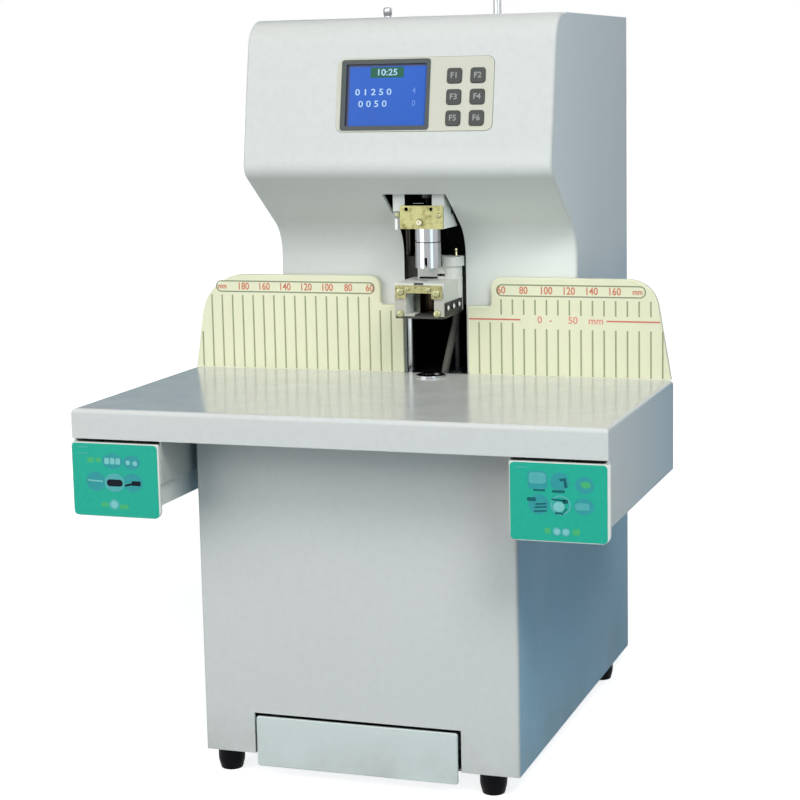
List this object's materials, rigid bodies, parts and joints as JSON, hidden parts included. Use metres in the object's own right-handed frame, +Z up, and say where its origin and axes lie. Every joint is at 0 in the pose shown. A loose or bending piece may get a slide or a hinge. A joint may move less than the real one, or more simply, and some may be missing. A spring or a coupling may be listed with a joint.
{
  "type": "document riveting machine",
  "caption": "Free-standing desk machine that drills a stack of papers and binds it with a heated nylon tube rivet: work table with fences, presser, hollow drill, display and drawers.",
  "frame": {"origin": "on the floor, under the middle of the machine's overall width and depth", "axes": "+Z up; -Y is the operator's side, where the paper goes in; +X to the operator's right"},
  "size_m": [0.4394, 0.439, 0.69],
  "materials": {
    "white_moulding": "fine satin off-white moulding",
    "white_paint": "satin off-white powder coat",
    "grey_blue_paint": "satin grey-blue powder coat",
    "cream_plastic": "satin cream sheet",
    "mint_paint": "satin green enamel",
    "pale_green_paint": "satin pale grey-green enamel",
    "black_rubber": "matt black rubber",
    "ground_steel": "ground bright steel",
    "dark_steel": "oiled dark steel",
    "bright_chrome": "polished chrome",
    "cast_white": "off-white enamel over a casting",
    "zinc_plate": "yellow-passivated zinc plate",
    "milled_aluminium": "milled, as cut",
    "black_motor": "semi-gloss black enamel",
    "black_belt": "matt black belting",
    "dark_insulation": "matt dark phenolic",
    "grey_hose": "matt grey hose",
    "nylon": "milky translucent nylon",
    "panel_grey": "fine-grained light grey moulding",
    "bezel_grey": "fine-grained dark grey moulding",
    "display_blue": "glossy blue display",
    "key_grey": "matt dark grey key",
    "zinc_sheet": "plain zinc-plated sheet",
    "circuit_green": "green circuit laminate",
    "iron_core": "varnished laminated iron",
    "black_oxide": "black oxide on ground steel",
    "black_plastic": "matt black plastic"
  },
  "bodies": {
    "chassis": {"head_cover": "white_moulding", "left_side_panel": "grey_blue_paint", "right_side_panel": "grey_blue_paint", "body_front_panel": "white_paint", "rear_cover": "grey_blue_paint", "base_pan": "zinc_sheet", "rubber_feet": "black_rubber", "frame_plates": "zinc_sheet", "bed_plate": "dark_steel", "frame_top_plate": "zinc_sheet", "guide_columns": "ground_steel", "work_table": "white_paint", "left_fence": "cream_plastic", "right_fence": "cream_plastic", "upper_bracket": "cast_white", "bracket_plate": "zinc_plate", "spindle_sleeve": "bright_chrome", "drill_feed_motor": "black_motor", "chip_chute": "zinc_sheet", "presser_motor": "black_motor", "die_ring": "bright_chrome", "die_actuator": "black_motor", "tube_guide": "ground_steel", "nylon_tube": "nylon", "tube_feed_motor": "black_motor", "control_panel": "panel_grey", "display_bezel": "bezel_grey", "display_glass": "display_blue", "drawer_rails": "zinc_sheet", "power_inlet": "black_plastic", "control_board": "circuit_green", "power_supply": "iron_core"},
    "drill_unit": {"drill_crosshead": "milled_aluminium", "quill": "black_oxide", "drill_motor": "black_motor", "drive_belt": "black_belt"},
    "spindle": {"spindle_shaft": "black_oxide", "spindle_pulley": "milled_aluminium", "hollow_drill": "ground_steel"},
    "motor_rotor": {"motor_pulley": "milled_aluminium"},
    "drill_screw": {"drill_feed_screw": "black_oxide"},
    "presser": {"presser_block": "cast_white", "presser_foot": "dark_steel", "presser_strip": "zinc_plate", "upper_die": "bright_chrome", "heater_terminals": "dark_insulation", "chip_hose": "grey_hose"},
    "presser_screw": {"presser_feed_screw": "black_oxide"},
    "lower_die": {"lower_die": "ground_steel"},
    "feed_roller": {"feed_roller": "dark_steel"},
    "left_drawer": {"left_drawer": "mint_paint"},
    "right_drawer": {"right_drawer": "mint_paint"},
    "waste_tray": {"waste_tray": "pale_green_paint"},
    "power_switch": {"power_switch": "black_plastic"},
    "key_1": {"key_1": "key_grey"},
    "key_2": {"key_2": "key_grey"},
    "key_3": {"key_3": "key_grey"},
    "key_4": {"key_4": "key_grey"},
    "key_5": {"key_5": "key_grey"},
    "key_6": {"key_6": "key_grey"}
  },
  "joints": [
    {"name": "drill_slide", "type": "slide", "parent": "chassis", "child": "drill_unit", "axis": [0, 0, -1], "range_m": [0, 0.0972]},
    {"name": "drill_spin", "type": "hinge", "parent": "drill_unit", "child": "spindle", "pos_m": [0.0115, 0, 0.53], "axis": [0, 0, 1], "continuous": true},
    {"name": "motor_spin", "type": "hinge", "parent": "drill_unit", "child": "motor_rotor", "pos_m": [0.0115, 0.16, 0.58], "axis": [0, 0, 1], "continuous": true},
    {"name": "drill_screw_turn", "type": "hinge", "parent": "chassis", "child": "drill_screw", "pos_m": [0.0115, 0.096, 0.52], "axis": [0, 0, 1], "range_deg": [0, 3502]},
    {"name": "presser_slide", "type": "slide", "parent": "chassis", "child": "presser", "axis": [0, 0, -1], "range_m": [0, 0.0505]},
    {"name": "presser_screw_turn", "type": "hinge", "parent": "chassis", "child": "presser_screw", "pos_m": [0.0115, 0.08, 0.34], "axis": [0, 0, 1], "range_deg": [0, 1820]},
    {"name": "lower_die_slide", "type": "slide", "parent": "chassis", "child": "lower_die", "axis": [0, 0, 1], "range_m": [0, 0.006]},
    {"name": "feed_roller_spin", "type": "hinge", "parent": "chassis", "child": "feed_roller", "pos_m": [0.0465, 0.08892, 0.56], "axis": [1, 0, 0], "continuous": true},
    {"name": "left_drawer_slide", "type": "slide", "parent": "chassis", "child": "left_drawer", "axis": [0, -1, 0], "range_m": [0, 0.1]},
    {"name": "right_drawer_slide", "type": "slide", "parent": "chassis", "child": "right_drawer", "axis": [0, -1, 0], "range_m": [0, 0.1]},
    {"name": "waste_tray_slide", "type": "slide", "parent": "chassis", "child": "waste_tray", "axis": [0, -1, 0], "range_m": [0, 0.15]},
    {"name": "power_switch_rock", "type": "hinge", "parent": "chassis", "child": "power_switch", "pos_m": [0.085, 0.2139, 0.09], "axis": [1, 0, 0], "range_deg": [0, 20]},
    {"name": "key_1_press", "type": "slide", "parent": "chassis", "child": "key_1", "axis": [0, 0.9826, -0.1857], "range_m": [0, 0.0008], "stiffness_N_per_m": 1500},
    {"name": "key_2_press", "type": "slide", "parent": "chassis", "child": "key_2", "axis": [0, 0.9826, -0.1857], "range_m": [0, 0.0008], "stiffness_N_per_m": 1500},
    {"name": "key_3_press", "type": "slide", "parent": "chassis", "child": "key_3", "axis": [0, 0.9826, -0.1857], "range_m": [0, 0.0008], "stiffness_N_per_m": 1500},
    {"name": "key_4_press", "type": "slide", "parent": "chassis", "child": "key_4", "axis": [0, 0.9826, -0.1857], "range_m": [0, 0.0008], "stiffness_N_per_m": 1500},
    {"name": "key_5_press", "type": "slide", "parent": "chassis", "child": "key_5", "axis": [0, 0.9826, -0.1857], "range_m": [0, 0.0008], "stiffness_N_per_m": 1500},
    {"name": "key_6_press", "type": "slide", "parent": "chassis", "child": "key_6", "axis": [0, 0.9826, -0.1857], "range_m": [0, 0.0008], "stiffness_N_per_m": 1500}
  ],
  "couplings": [
    {"joint": "motor_spin", "follows": "drill_spin", "ratio": 1.375},
    {"joint": "drill_screw_turn", "follows": "drill_slide", "rad_per_m": 628.32},
    {"joint": "presser_screw_turn", "follows": "presser_slide", "rad_per_m": 628.32}
  ]
}
